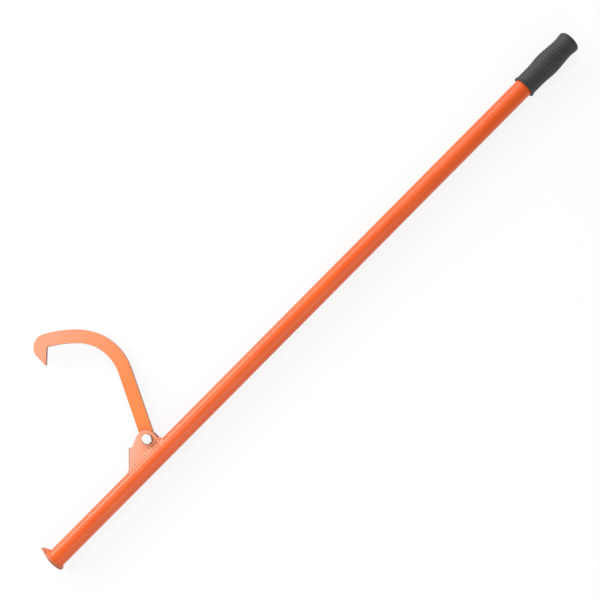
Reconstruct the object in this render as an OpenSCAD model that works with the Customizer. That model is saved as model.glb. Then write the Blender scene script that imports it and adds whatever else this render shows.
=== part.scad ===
// Felling lever: a steel tube handle with a toe plate and beak at one end, a rubber grip
// at the other, and a swinging cant hook in a folded bracket near the toe.
// Millimetres. The tool lies on its side. The origin is the centre of the toe plate's
// outer face, +X runs along the tube to the grip, +Y is the hook's side of the tube and
// +Z is the hook's pivot axis.

/* [Handle] */
// Overall length, from the toe plate's outer face to the end of the grip
overall_len = 1219; // [900:1:1600]
// Outside diameter of the tube
tube_od = 32; // [30:0.1:40]
// Wall of the tube
tube_wall = 3; // [1.5:0.1:5]

/* [Toe plate] */
// Thickness of the toe plate
toe_t = 3; // [2:0.5:4]
// Width of the rim that the toe plate leaves round the tube
toe_rim = 3.4; // [3:0.1:8]
// How far the beak's point stands out from the tube
beak_rise = 14.8; // [12:0.1:24]
// Radius of the beak's round lip
beak_tip_r = 7; // [3:0.5:9]
// Thickness of the beak's lip
beak_edge = 1; // [0.5:0.1:1.5]
// Slope of the beak's back to the tube
beak_slope = 61; // [58:0.5:65]
// Width of the weld that backs the beak
beak_weld_w = 11; // [6:0.5:12]
// Leg of the weld round the tube, along the tube
toe_weld_leg = 3; // [2:0.5:5]
// Leg of the weld round the tube, up the plate
toe_weld_rise = 2.8; // [2:0.1:3]

/* [Hook] */
// Distance of the pivot from the toe plate's outer face
pivot_x = 254.5; // [200:0.5:400]
// Width of the hook's flat bar
hook_w = 23; // [18:0.5:28]
// Thickness of the hook's flat bar
hook_t = 8; // [5:0.5:12]
// Gap between the hook's heel and the tube
heel_gap = 3.4; // [2:0.1:6]
// Angle between the hook's arm and the tube as the tool lies
arm_angle = 65.2; // [50:0.1:80]
// Length of the arm's straight stretch, from the pivot
arm_len = 121.5; // [80:0.5:160]
// Centreline radius of the hook's main bend
bend_r = 89; // [60:1:130]
// Angle of the hook's main bend
bend_angle = 69.3; // [50:0.1:80]
// Centreline radius of the long curve before the hook's point
crook_r = 205; // [120:1:300]
// Angle of the long curve before the hook's point
crook_angle = 15.7; // [5:0.1:25]
// Angle through which the bar turns about the inner corner of the point
point_angle = 120; // [100:1:130]
// Length of the point's straight outer edge
point_len = 22; // [14:0.5:28]

/* [Bracket] */
// Thickness of the plate that the bracket is folded from
plate_t = 5; // [3:0.5:7]
// Gap on each side of the hook, between the bracket's ears
side_gap = 0.3; // [0.2:0.05:1]
// Inside radius of the bracket's two folds
fold_r = 1.2; // [0.5:0.1:3]
// Slope of the bracket's web to the tube
web_angle = 46; // [40:1:60]
// Distance of the web's top corner behind the pivot
web_back = 33.4; // [30:0.1:40]
// Height of the web's top corner above the pivot
web_rise = 13.6; // [8:0.1:15]
// Radius of the ears' round top
ear_r = 18; // [15:0.5:20]
// Distance of the centre of the ears' round top behind the pivot
ear_back = 4.2; // [3:0.1:8]
// Distance of the centre of the ears' round top below the pivot
ear_drop = 0; // [0:0.1:2]
// Radius of the weld bead along the ears' feet
bead_r = 4.5; // [4:0.1:5.5]
// Radius of the weld bead along the web's foot
web_bead_r = 3.6; // [2.5:0.1:4]
// Radius of the heavier weld that closes each ear's end
end_bead_r = 6; // [5:0.1:7.5]
// Distance of that weld's centre past the ear's end
end_bead_past = 1; // [0:0.5:3]

/* [Pivot bolt] */
// Diameter of the bolt
bolt_d = 10; // [8:0.5:12]
// How far the bolt's end stands out of the nut
bolt_past = 0.9; // [0.5:0.1:6]
// Width across the flats of the bolt's head and of the nut
hex_af = 16; // [15:0.5:19]
// Height of the bolt's head
head_h = 6.4; // [5:0.1:8]
// Radial running clearance of the hook on the bolt
pivot_fit = 0.08; // [0.05:0.01:0.1]
// Radial clearance of the bolt in the ears and the washer
bolt_fit = 0.25; // [0.1:0.05:0.5]
// Outside diameter of the washer
washer_od = 20; // [18:0.5:24]
// Thickness of the washer
washer_t = 2; // [1:0.1:3]
// Height of the lock nut
nut_h = 8.5; // [7:0.1:9]
// Height of the lock nut's round collar
collar_h = 3; // [2.5:0.1:4]
// Height of the nylon ring inside the collar
insert_h = 2.2; // [1.5:0.1:2.4]

/* [Grip] */
// Length of the rubber grip
grip_len = 110.5; // [95:0.5:150]
// Thickness of the rubber over the tube's end
grip_cap = 5; // [3:0.5:10]
// Thickness of the rubber at the grip's neck
neck_t = 2.9; // [2.2:0.1:5]
// Extra radius of the flange at the grip's mouth
flange_rise = 1.3; // [0.5:0.1:4]
// Width of the flange at the grip's mouth
flange_w = 2; // [1:0.5:5]
// Distance from the mouth to where the neck starts
neck_start = 5.5; // [5.5:0.5:12]
// Distance from the mouth to where the belly starts
belly_start = 26; // [14:1:30]
// Distance from the mouth to the middle of the belly
belly_mid = 55; // [50:1:65]
// Extra radius of the grip's belly
belly_rise = 1.8; // [1:0.1:4]
// Extra radius of the flare at the grip's end
flare_rise = 0.6; // [0.5:0.1:4]
// How far the waist before the flare draws in
waist_drop = 0.6; // [0:0.1:1]
// Distance of the waist from the grip's end
waist_back = 17; // [12:1:20]
// Radius of the grip's rounded end
end_r = 5; // [3:0.5:8]
// Distance from the mouth to the middle of the grooves
groove_mid = 53; // [50:1:60]
// Number of grooves round the belly
groove_count = 8; // [4:1:10]
// Distance from one groove to the next
groove_pitch = 6.1; // [4:0.1:7]
// Depth of each groove
groove_depth = 0.5; // [0.3:0.1:1.5]
// Radius of the round cutter that makes a groove
groove_r = 1.3; // [1:0.1:2]

/* [Hidden] */

// Number of sides that true rounds are drawn with
$fn = 96;
// Largest turn between two points of an arc in an outline
arc_step = 3;
// Room by which a cutter passes the solid that it cuts
past = 1;

// Points of an arc about c, from one angle to another, turning either way
function arc(c, r, from, to) = let(steps = ceil(abs(to - from) / arc_step))
    [for (i = [0:steps]) let(a = from + (to - from) * i / steps) c + r * [cos(a), sin(a)]];

tube_r = tube_od / 2;
tube_end = overall_len - grip_cap;
toe_r = tube_r + toe_rim;
beak_reach = tube_r + beak_rise;
// Distance along the tube of the beak's sloping back, by the height above the tube's axis
function beak_back(y) = beak_edge + (beak_reach - y) / tan(beak_slope);
// Height at which that slope leaves the plate's back face
beak_foot = beak_reach - (toe_t - beak_edge) * tan(beak_slope);

pivot_y = tube_r + heel_gap + hook_w / 2;
bolt_r = bolt_d / 2;
bolt_hole_r = bolt_r + bolt_fit;
hook_hole_r = bolt_r + pivot_fit;

// Half widths of the bracket, inside and outside its ears
ear_in = hook_t / 2 + side_gap;
ear_out = ear_in + plate_t;
fold_out = fold_r + plate_t;
// Corner of the web's top end, on its outer face
web_top = [pivot_x - web_back, pivot_y + web_rise];
// Points of the web's outer face where it meets the tube, by the height of the tube there
function web_at(y) = [web_top.x - (web_top.y - y) / tan(web_angle), y];
// Height of the tube's surface above its axis, at a distance to the side
function tube_top(z) = sqrt(tube_r * tube_r - z * z);
// Centre of the ears' round top, and their end on the grip's side
ear_c = [pivot_x - ear_back, pivot_y - ear_drop];
ear_end = ear_c.x + ear_r;
// Inner corner of the web's top end, from which the ears' edge runs up to the round top
web_in = web_top + fold_out * [sin(web_angle), -cos(web_angle)];
// Angle at which that edge meets the round top at a tangent
ear_run = norm(ear_c - web_in);
ear_rise_angle = atan2(ear_c.y - web_in.y, ear_c.x - web_in.x) + asin(ear_r / ear_run);

// Points round the fold at the web's foot, from the web's middle line to the ear's face
function foot_at(turn) = let(
    z = ear_out - fold_out + fold_out * sin(turn),
    y = tube_top(z),
    depth = fold_out * (1 - cos(turn))
) [web_at(y).x + depth / sin(web_angle), y, z];
ear_foot = foot_at(90);
// Height along the pivot's axis of the heavier weld, at the middle of the ear's edge
end_z = ear_in + plate_t / 2;

// Faces along the pivot's axis: washer on the far ear, then the nut, then its collar
washer_z = -ear_out - washer_t;
nut_z = washer_z - nut_h;
bolt_end = nut_z - bolt_past;
// Radius of a hexagon's corners
hex_r = hex_af / 2 / cos(30);
// Height that the chamfer takes off a hexagon's corners
hex_chamfer = (hex_r - hex_af / 2) * tan(30);
// Chamfer of the bolt's end
bolt_chamfer = 1;
// Radial gap of the thread, drawn plain, between bolt, nut and nylon ring
thread_fit = 0.05;
// Wall of the lock nut's collar, its step in from the flats, and the round at its edge
collar_wall = 1;
collar_step = 0.6;
collar_r = hex_af / 2 - collar_step;
collar_round = 1.2;

grip_start = overall_len - grip_len;
neck_r = tube_r + neck_t;
// Radial gap between the rubber and the tube, which is tight on the real grip
grip_fit = 0.05;
// Stations of the grip's outline: [distance from the mouth, radius]
GRIP = [
    [0, neck_r + flange_rise],
    [flange_w, neck_r + flange_rise],
    [neck_start, neck_r],
    [belly_start, neck_r],
    [belly_mid, neck_r + belly_rise],
    [grip_len - waist_back, neck_r - waist_drop],
    [grip_len - end_r, neck_r + flare_rise],
];
// Steps drawn between two stations
grip_steps = 8;
// Smooth step from one station to the next, for t from 0 to 1
function between(a, b, t) = [a.x + (b.x - a.x) * t, a.y + (b.y - a.y) * (1 - cos(180 * t)) / 2];
// Radius of the grip at a distance from its mouth
function grip_r(s) = let(
    i = max([for (k = [0:len(GRIP) - 2]) if (GRIP[k].x <= s) k])
) between(GRIP[i], GRIP[i + 1], (s - GRIP[i].x) / (GRIP[i + 1].x - GRIP[i].x)).y;

// A solid turned about the tube's axis, from a profile of [distance along it, radius]
module turned() {
    rotate([0, 90, 0]) rotate_extrude() mirror([1, -1]) children();
}

// The tube's outer surface as a cutter, for what is coped to sit on it
module tube_space() {
    translate([-past, 0, 0]) rotate([0, 90, 0]) cylinder(h = overall_len, r = tube_r);
}

module handle_tube() {
    color("orangered") turned()
        translate([toe_t, tube_r - tube_wall]) square([tube_end - toe_t, tube_wall]);
}

// The toe plate's face: a disc with straight tangents up to a blunted point
module toe_outline() {
    tip_x = beak_reach - beak_tip_r;
    tangent = acos((toe_r - beak_tip_r) / tip_x);
    polygon(concat(
        arc([0, 0], toe_r, tangent, 360 - tangent),
        arc([tip_x, 0], beak_tip_r, -tangent, tangent)
    ));
}

// An outline in the plane of the toe plate, made solid along the tube
module along_tube(length) {
    rotate([90, 0, 90]) linear_extrude(length) children();
}

module toe_plate() {
    color("orangered") difference() {
        along_tube(toe_t) toe_outline();
        linear_extrude(2 * toe_r, center = true) polygon([
            [beak_edge, beak_reach],
            [toe_t, beak_foot],
            [toe_t + past, beak_foot],
            [toe_t + past, beak_reach + past],
            [beak_edge, beak_reach + past],
        ]);
    }
}

// The weld round the tube behind the plate, with the heavier run that backs the beak
module toe_weld() {
    color("orangered") difference() {
        union() {
            turned() polygon([
                [toe_t, 0],
                [toe_t, tube_r + toe_weld_rise],
                [toe_t + toe_weld_leg, tube_r],
                [toe_t + toe_weld_leg, 0],
            ]);
            linear_extrude(beak_weld_w, center = true) polygon([
                [toe_t, 0],
                [toe_t, beak_foot],
                [beak_back(tube_r), tube_r],
                [beak_back(tube_r), 0],
            ]);
        }
        tube_space();
    }
}

// The ears' outline, seen along the pivot
module ear_outline() {
    polygon(concat(
        [web_at(0), web_top, web_in],
        arc(ear_c, ear_r, 90 + ear_rise_angle, 0),
        [[ear_end, 0]]
    ));
}

// A channel that follows the web, rounded at its folds: its half width, the radius of its
// folds, and how deep it starts behind the web's outer face
module channel(half, r, depth) {
    reach = norm([ear_end, 0] - web_top) + past;
    translate(web_top) rotate([0, 0, web_angle - 90]) rotate([90, 0, 0])
    linear_extrude(2 * reach, center = true) polygon(concat(
        [[depth + reach, half]],
        arc([depth + r, half - r], r, 90, 180),
        arc([depth + r, r - half], r, 180, 270),
        [[depth + reach, -half]]
    ));
}

// The folded bracket's outer form, without its slot
module bracket_block() {
    intersection() {
        linear_extrude(2 * (ear_out + past), center = true) ear_outline();
        channel(ear_out, fold_out, 0);
    }
}

module hook_bracket() {
    color("coral") difference() {
        bracket_block();
        channel(ear_in, fold_r, plate_t);
        tube_space();
        translate([pivot_x, pivot_y, 0])
            cylinder(h = 2 * (ear_out + past), r = bolt_hole_r, center = true);
    }
}

// A straight run of weld between two points, round at both ends
module weld_run(from, to, r) {
    along = to - from;
    translate(from) {
        sphere(r);
        rotate([0, acos(along.z / norm(along)), atan2(along.y, along.x)])
            cylinder(h = norm(along), r = r);
        translate(along) sphere(r);
    }
}

// The bead on one side of the bracket: from the middle of the web's foot, round the fold
// and along the ear's foot to a heavier end, clear of the hook's slot
module foot_bead() {
    fold = [for (turn = [0:45:90]) foot_at(turn)];
    color("coral") difference() {
        union() {
            weld_run([fold[0].x, fold[0].y, 0], fold[0], web_bead_r);
            for (i = [0:len(fold) - 2]) weld_run(fold[i], fold[i + 1], web_bead_r);
            weld_run(ear_foot, [ear_end, ear_foot.y, ear_foot.z], bead_r);
            translate([ear_end + end_bead_past, tube_top(end_z), end_z]) sphere(end_bead_r);
        }
        translate([0, 0, -tube_od]) cube([overall_len, tube_od, tube_od]);
        translate([pivot_x, 0, 0]) cube([overall_len, tube_od, ear_in]);
        bracket_block();
        tube_space();
    }
}

module bracket_weld_near() {
    foot_bead();
}

module bracket_weld_far() {
    mirror([0, 0, 1]) foot_bead();
}

// The hook's outline with its pivot at the origin and its arm along X: out along the right
// edge of the bar, round the point, and back along the left edge to the round heel
module hook_outline() {
    half = hook_w / 2;
    // Directions, seen from the bends' centres, at which each stretch of the bar ends
    bend_end = bend_angle - 90;
    crook_end = bend_end + crook_angle;
    point_end = crook_end + point_angle;
    bend_c = [arm_len, bend_r];
    crook_c = bend_c + (bend_r - crook_r) * [cos(bend_end), sin(bend_end)];
    notch = crook_c + (crook_r - half) * [cos(crook_end), sin(crook_end)];
    polygon(concat(
        arc([0, 0], half, 90, 270),
        arc(bend_c, bend_r + half, -90, bend_end),
        arc(crook_c, crook_r + half, bend_end, crook_end),
        arc(notch, hook_w, crook_end, point_end),
        [notch + hook_w * [cos(point_end), sin(point_end)] + point_len * [-sin(point_end), cos(point_end)]],
        arc(crook_c, crook_r - half, crook_end, bend_end),
        arc(bend_c, bend_r - half, bend_end, -90)
    ));
}

module hook() {
    color("darkorange") translate([pivot_x, pivot_y, 0]) difference() {
        rotate(arm_angle) linear_extrude(hook_t, center = true) hook_outline();
        cylinder(h = hook_t + 2 * past, r = hook_hole_r, center = true);
    }
}

// A hexagon's height with chamfered corners on top, its flats towards the tube
module hex_head(height) {
    intersection() {
        cylinder(h = height, r = hex_r, $fn = 6);
        cylinder(h = height, r = hex_r + past);
        rotate_extrude() polygon([
            [0, 0],
            [hex_r + past, 0],
            [hex_r + past, height - hex_chamfer - past * tan(30)],
            [hex_af / 2, height],
            [0, height],
        ]);
    }
}

module pivot_bolt() {
    color("silver") translate([pivot_x, pivot_y, 0]) {
        translate([0, 0, ear_out]) hex_head(head_h);
        translate([0, 0, bolt_end]) rotate_extrude() polygon([
            [0, 0],
            [bolt_r - bolt_chamfer, 0],
            [bolt_r, bolt_chamfer],
            [bolt_r, ear_out - bolt_end],
            [0, ear_out - bolt_end],
        ]);
    }
}

module nut_washer() {
    color("silver") translate([pivot_x, pivot_y, washer_z]) difference() {
        cylinder(h = washer_t, r = washer_od / 2);
        translate([0, 0, -past]) cylinder(h = washer_t + 2 * past, r = bolt_hole_r);
    }
}

module lock_nut() {
    color("silver") translate([pivot_x, pivot_y, nut_z]) difference() {
        union() {
            translate([0, 0, nut_h]) mirror([0, 0, 1]) hex_head(nut_h - collar_h);
            rotate_extrude() {
                square([collar_r - collar_round, nut_h - hex_chamfer]);
                translate([0, collar_round]) square([collar_r, collar_h]);
                translate([collar_r - collar_round, collar_round]) circle(collar_round);
            }
        }
        translate([0, 0, -past]) cylinder(h = nut_h + 2 * past, r = bolt_r + thread_fit);
        translate([0, 0, collar_h - insert_h]) cylinder(h = insert_h, r = collar_r - collar_wall);
    }
}

module nut_insert() {
    color("white") translate([pivot_x, pivot_y, nut_z + collar_h - insert_h]) difference() {
        cylinder(h = insert_h, r = collar_r - collar_wall);
        translate([0, 0, -past]) cylinder(h = insert_h + 2 * past, r = bolt_r + thread_fit);
    }
}

module rubber_grip() {
    bore_r = tube_r + grip_fit;
    inner_len = grip_len - grip_cap;
    outer = [for (i = [0:len(GRIP) - 2]) for (k = [0:grip_steps - 1])
        between(GRIP[i], GRIP[i + 1], k / grip_steps)];
    first_groove = groove_mid - (groove_count - 1) / 2 * groove_pitch;
    color("dimgray") translate([grip_start, 0, 0]) turned() difference() {
        polygon(concat(
            [[inner_len, 0], [inner_len, bore_r], [0, bore_r]],
            outer,
            arc([grip_len - end_r, neck_r + flare_rise - end_r], end_r, 90, 0),
            [[grip_len, 0]]
        ));
        for (i = [0:groove_count - 1]) let(s = first_groove + i * groove_pitch)
            translate([s, grip_r(s) + groove_r - groove_depth]) circle(groove_r);
    }
}

handle_tube();
toe_plate();
toe_weld();
hook_bracket();
bracket_weld_near();
bracket_weld_far();
hook();
pivot_bolt();
nut_washer();
lock_nut();
nut_insert();
rubber_grip();
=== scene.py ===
from math import acos, asin, atan2, ceil, cos, pi, radians, sin, sqrt, tan

import bmesh
import bpy
from mathutils import Matrix, Vector


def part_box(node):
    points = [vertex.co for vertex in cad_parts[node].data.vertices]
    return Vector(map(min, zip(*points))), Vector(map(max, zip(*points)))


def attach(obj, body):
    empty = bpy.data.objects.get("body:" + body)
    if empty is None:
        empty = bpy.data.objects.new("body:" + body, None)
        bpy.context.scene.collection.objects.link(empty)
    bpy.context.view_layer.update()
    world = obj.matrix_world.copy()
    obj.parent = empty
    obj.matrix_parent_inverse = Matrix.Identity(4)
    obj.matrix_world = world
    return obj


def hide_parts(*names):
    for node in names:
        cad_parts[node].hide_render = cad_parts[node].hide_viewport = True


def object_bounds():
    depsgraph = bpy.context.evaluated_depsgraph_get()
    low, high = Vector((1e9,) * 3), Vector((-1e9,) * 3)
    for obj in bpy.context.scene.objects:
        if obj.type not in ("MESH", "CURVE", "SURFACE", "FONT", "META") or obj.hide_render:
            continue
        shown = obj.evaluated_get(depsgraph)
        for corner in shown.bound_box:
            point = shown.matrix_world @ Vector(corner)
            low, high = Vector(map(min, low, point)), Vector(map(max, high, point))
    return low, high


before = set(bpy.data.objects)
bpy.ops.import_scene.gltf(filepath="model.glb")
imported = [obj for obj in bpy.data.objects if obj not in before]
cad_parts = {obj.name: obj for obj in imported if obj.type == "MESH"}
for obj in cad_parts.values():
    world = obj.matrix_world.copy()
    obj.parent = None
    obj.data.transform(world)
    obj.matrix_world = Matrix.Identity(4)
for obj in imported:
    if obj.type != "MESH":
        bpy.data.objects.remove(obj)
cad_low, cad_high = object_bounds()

# Handle tube
# The handle is one length of round steel tube, cut square at both ends. It is welded to the
# toe plate and the hook's bracket, and powder coated in orange with them.
mm = 0.001
tube_low, tube_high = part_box("handle_tube")
tube_r = tube_high.z
tube_wall = 3 * mm
tube_edge = 0.4 * mm
round_sides = 128
edge_step = radians(30)
same_point = 1e-7
tube_orange = (0.87, 0.115, 0.007)
tube_orange_deep = (0.83, 0.102, 0.006)
tube_orange_painted_shade = (0.42, 0.075, 0.020)
drift_size = 60 * mm
drift_span = (0.35, 0.65)
fleck_size = 1.1 * mm
fleck_span = (0.60, 0.75)
fleck_share = 0.35
# Painted shade: the largest share of the browner colour where the edge attribute is set.
shade_share = 0.75
# How far the painted highlight leans towards the toe.
highlight_lean = 0.5
sheen_size = 25 * mm
sheen_span = (0.3, 0.7)
coat_rough = (0.33, 0.44)
coat_gloss = 0.28
clear_share = 0.5
clear_rough = 0.32
peel_size = 1.6 * mm
peel_depth = 0.01 * mm
grain_size = 0.35 * mm
grain_depth = 0.004 * mm
coat_relief = 0.3


def arc(centre, radius, start, end, step=radians(6)):
    """Points of an arc in a plane, turning from one angle to another either way."""
    count = max(1, ceil(abs(end - start) / step))
    turns = [start + (end - start) * i / count for i in range(count + 1)]
    return [(centre[0] + radius * cos(a), centre[1] + radius * sin(a)) for a in turns]


def along_x(along, side, rise):
    """A turned piece's place on the tool, where its axis is the tube's."""
    return Vector((along, rise, side))


def piece(name, work, finish, smooth=True):
    """A finished object from a bmesh whose points are in place on the tool."""
    mesh = bpy.data.meshes.new(name)
    work.to_mesh(mesh)
    work.free()
    mesh.polygons.foreach_set("use_smooth", [smooth] * len(mesh.polygons))
    mesh.materials.append(finish)
    made = bpy.data.objects.new(name, mesh)
    bpy.context.scene.collection.objects.link(made)
    return made


def bridge(work, ring, after):
    """A band of faces between two rings of points."""
    for i in range(len(ring)):
        j = (i + 1) % len(ring)
        work.faces.new((ring[i], ring[j], after[j], after[i]))


def turned(outline, sides, place):
    """A closed outline of (along, radius) points turned round an axis, as a bmesh in place."""
    work = bmesh.new()
    turns = [2 * pi * i / sides for i in range(sides)]
    rings = [[work.verts.new(place(s, r * cos(a), r * sin(a))) for a in turns] for s, r in outline]
    for ring, after in zip(rings, rings[1:] + rings[:1]):
        bridge(work, ring, after)
    bmesh.ops.remove_doubles(work, verts=work.verts, dist=same_point)
    bmesh.ops.recalc_face_normals(work, faces=work.faces)
    return work


def shader(tree, kind, settings=None, **values):
    """A node with its properties set, and its inputs set by name or by number."""
    made = tree.nodes.new(kind)
    for name, value in (settings or {}).items():
        made.inputs[name].default_value = value
    for name, value in values.items():
        setattr(made, name, value)
    return made


def blended(tree, share, first, second):
    """A colour between two colours. share is a socket or a number."""
    mix = shader(tree, "ShaderNodeMix", data_type="RGBA")
    for socket, value in ((mix.inputs[0], share), (mix.inputs[6], first), (mix.inputs[7], second)):
        if isinstance(value, bpy.types.NodeSocket):
            tree.links.new(value, socket)
        else:
            socket.default_value = (*value, 1) if isinstance(value, tuple) else value
    return mix.outputs[2]


def maths(tree, operation, first, second=None):
    """A sum on sockets or numbers."""
    made = shader(tree, "ShaderNodeMath", operation=operation)
    for socket, value in zip(made.inputs, (first, second)):
        if isinstance(value, bpy.types.NodeSocket):
            tree.links.new(value, socket)
        elif value is not None:
            socket.default_value = value
    return made.outputs[0]


def ranged(tree, value, low, high, to_low, to_high):
    """A value's range carried over to another, and held within it."""
    made = shader(tree, "ShaderNodeMapRange", {1: low, 2: high, 3: to_low, 4: to_high})
    tree.links.new(value, made.inputs[0])
    return made.outputs[0]


def noise(tree, size, detail=2.0, rough=0.5):
    """Noise whose blotches are about the given size, in metres, fixed to the piece."""
    place = shader(tree, "ShaderNodeTexCoord")
    made = shader(tree, "ShaderNodeTexNoise", {"Scale": 1 / size, "Detail": detail, "Roughness": rough})
    tree.links.new(place.outputs["Object"], made.inputs["Vector"])
    return made.outputs[0]


def surface(name):
    """A new material, with its tree and its main shader."""
    made = bpy.data.materials.new(name)
    made.use_nodes = True
    return made, made.node_tree, made.node_tree.nodes["Principled BSDF"]


def bumped(tree, main, height, depth, strength=1.0, under=None):
    """Fine relief on a surface. height is a socket from 0 to 1, depth its size in metres."""
    made = shader(tree, "ShaderNodeBump", {"Strength": strength, "Distance": depth})
    tree.links.new(height, made.inputs["Height"])
    if under is not None:
        tree.links.new(under, made.inputs["Normal"])
    tree.links.new(made.outputs[0], main.inputs["Normal"])
    return made.outputs[0]


def powder_coat(name, colour, deep, painted_shade, painted_highlight=None):
    """Baked powder coat: a fine orange peel, slow drift in colour and sheen, and small nibs, with
    a browner painted shade where the edge attribute is set. painted_highlight is a paler painted
    highlight and the two places, up from the tube and towards the toe, between which it comes up."""
    made, tree, main = surface(name)
    drift = ranged(tree, noise(tree, drift_size, 3), *drift_span, 0, 1)
    fleck = ranged(tree, noise(tree, fleck_size, 2), *fleck_span, 0, fleck_share)
    edge = shader(tree, "ShaderNodeAttribute", attribute_name="edge")
    body = blended(tree, drift, colour, deep)
    # A painted highlight: the coat turns paler up from the tube and towards the toe, where the lamps
    # fall.
    if painted_highlight:
        paler, low, high = painted_highlight
        place = shader(tree, "ShaderNodeSeparateXYZ")
        tree.links.new(shader(tree, "ShaderNodeTexCoord").outputs["Object"], place.inputs[0])
        to_toe = maths(tree, "MULTIPLY", place.outputs["X"], highlight_lean)
        reach = maths(tree, "SUBTRACT", place.outputs["Y"], to_toe)
        body = blended(tree, ranged(tree, reach, low, high, 0, 1), body, paler)
    body = blended(tree, fleck, body, deep)
    # Painted shade: the coat turns browner where the edge attribute is set.
    body = blended(tree, ranged(tree, edge.outputs["Fac"], 0, 1, 0, shade_share), body, painted_shade)
    tree.links.new(body, main.inputs["Base Color"])
    sheen = ranged(tree, noise(tree, sheen_size, 3), *sheen_span, *coat_rough)
    tree.links.new(sheen, main.inputs["Roughness"])
    main.inputs["Specular IOR Level"].default_value = coat_gloss
    main.inputs["Coat Weight"].default_value = clear_share
    main.inputs["Coat Roughness"].default_value = clear_rough
    peel = bumped(tree, main, noise(tree, peel_size, 1), peel_depth, coat_relief)
    bumped(tree, main, noise(tree, grain_size, 1), grain_depth, coat_relief, peel)
    return made


tube_coat = powder_coat("tube powder coat", tube_orange, tube_orange_deep, tube_orange_painted_shade)
tube_outline = [
    *arc((tube_low.x + tube_edge, tube_r - tube_edge), tube_edge, pi, pi / 2, edge_step),
    *arc((tube_high.x - tube_edge, tube_r - tube_edge), tube_edge, pi / 2, 0, edge_step),
    (tube_high.x, tube_r - tube_wall),
    (tube_low.x, tube_r - tube_wall),
]
handle = piece("handle_tube_coated", turned(tube_outline, round_sides, along_x), tube_coat)
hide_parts("handle_tube")
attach(handle, "handle")

# Toe plate
# A thin steel plate closes the tube's foot. Its upper end runs up to a round lip, the beak,
# which bites under the log. The back of the lip slopes down to the weld that backs it.
toe_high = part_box("toe_plate")[1]
toe_t = toe_high.x
toe_r = toe_high.z
beak_reach = toe_high.y
beak_lip_r = 7 * mm
beak_edge = 1 * mm
beak_slope = radians(61)
toe_edge = 0.45 * mm
rim_steps = 4
# Shares of painted shade on a plate's rounded rims and on its sides.
rim_shade = 0.8
side_shade = 1.2
plate_orange = (0.81, 0.196, 0.067)
plate_orange_deep = (0.76, 0.168, 0.050)
plate_painted_shade = (0.34, 0.11, 0.075)


def inset(outline, distance):
    """A counter-clockwise outline drawn in by a distance, its corners kept."""
    moved = []
    points = [Vector(p[:2]) for p in outline]
    for before, here, after in zip(points[-1:] + points, points, points[1:] + points[:1]):
        into, out = (here - before).normalized(), (after - here).normalized()
        first, second = Vector((-into.y, into.x)), Vector((-out.y, out.x))
        moved.append(here + (first + second) * (distance / (1 + first.dot(second))))
    return moved


def flat_plate(outline, low, high, edge, place, cuts=()):
    """A flat plate with rounded edges, from a counter-clockwise outline. cuts are lines, each a
    point and a direction across it, that split its faces, so that place() can bend it there."""
    work = bmesh.new()
    painted_shade = work.verts.layers.float.new("edge")
    rings = []
    for base, sign in ((low, 1), (high, -1)):
        for k in range(rim_steps + 1)[::sign]:
            a = pi / 2 * k / rim_steps
            ring = [
                work.verts.new((*p, base + sign * edge * (1 - cos(a))))
                for p in inset(outline, edge * (1 - sin(a)))
            ]
            # Shade is painted on the rounded rims, and most strongly on the plate's sides.
            for v in ring:
                v[painted_shade] = max(rim_shade * sin(2 * a), side_shade * sin(a))
            rings.append(ring)
    work.faces.new(rings[0][::-1])
    work.faces.new(rings[-1])
    for ring, after in zip(rings, rings[1:]):
        bridge(work, ring, after)
    for point, across in cuts:
        bmesh.ops.bisect_plane(work, geom=work.verts[:] + work.edges[:] + work.faces[:],
                               dist=same_point, plane_co=(*point, 0), plane_no=(*across, 0))
    for v in work.verts:
        v.co = place(v.co)
    return work


def settle(thing):
    """Applies a piece's modifiers and leaves it a plain mesh."""
    graph = bpy.context.evaluated_depsgraph_get()
    made = bpy.data.meshes.new_from_object(thing.evaluated_get(graph), depsgraph=graph,
                                           preserve_all_data_layers=True)
    thing.modifiers.clear()
    thing.data = made


def even_shading(thing):
    """Flat faces shade flat up to their rounded edges. The modifier is applied."""
    thing.modifiers.new("flat faces lead", "WEIGHTED_NORMAL").keep_sharp = True
    settle(thing)


lip_y = beak_reach - beak_lip_r
lip_turn = acos((toe_r - beak_lip_r) / lip_y)
toe_outline = [
    *arc((0, 0), toe_r, lip_turn, 2 * pi - lip_turn),
    *arc((lip_y, 0), beak_lip_r, -lip_turn, lip_turn),
]
beak_foot = beak_reach - (toe_t - beak_edge) * tan(beak_slope)


def beak_back(y):
    """Distance of the beak's sloping back along the tube, by its height above the axis."""
    return beak_edge + (beak_reach - y) / tan(beak_slope)


def behind_toe(p):
    """The toe plate's place: its outline's X is up the tool, and its back slopes at the beak."""
    return Vector((p.z * min(1, beak_back(p.x) / toe_t), p.x, p.y))


plate_coat = powder_coat("plate powder coat", plate_orange, plate_orange_deep, plate_painted_shade)
slope_foot = [((beak_foot, 0), (1, 0))]
toe_body = flat_plate(toe_outline, 0, toe_t, toe_edge, behind_toe, cuts=slope_foot)
toe = piece("toe_plate_coated", toe_body, plate_coat)
even_shading(toe)
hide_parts("toe_plate")
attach(toe, "handle")

# Toe weld
# One run of weld goes round the tube's foot behind the plate, and a heavier build-up of weld
# backs the beak. Its ripples lie under the paint.
toe_leg = 3 * mm
toe_rise = 2.8 * mm
backing_half = 5.5 * mm
backing_fade = 2.5 * mm
toe_ripple = 1.5 * mm
toe_crown = 0.06
toe_count = 180
weld_sections = 16
ripple_bow = 0.35
seam_share = 0.44
seam_core = 0.02
seam_reach = 0.17
seam_depth = 0.35 * mm
seam_fade = 4 * mm
# Painted shade in the groove between passes and in broken stretches along the upper foot.
seam_shade = 1.1
foot_shade = 0.7
foot_full = 0.06
foot_end = 0.25
shade_wave = 5.3 * mm
shade_wave_short = 2.9 * mm
shade_span = (-1.0, 0.9)


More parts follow.
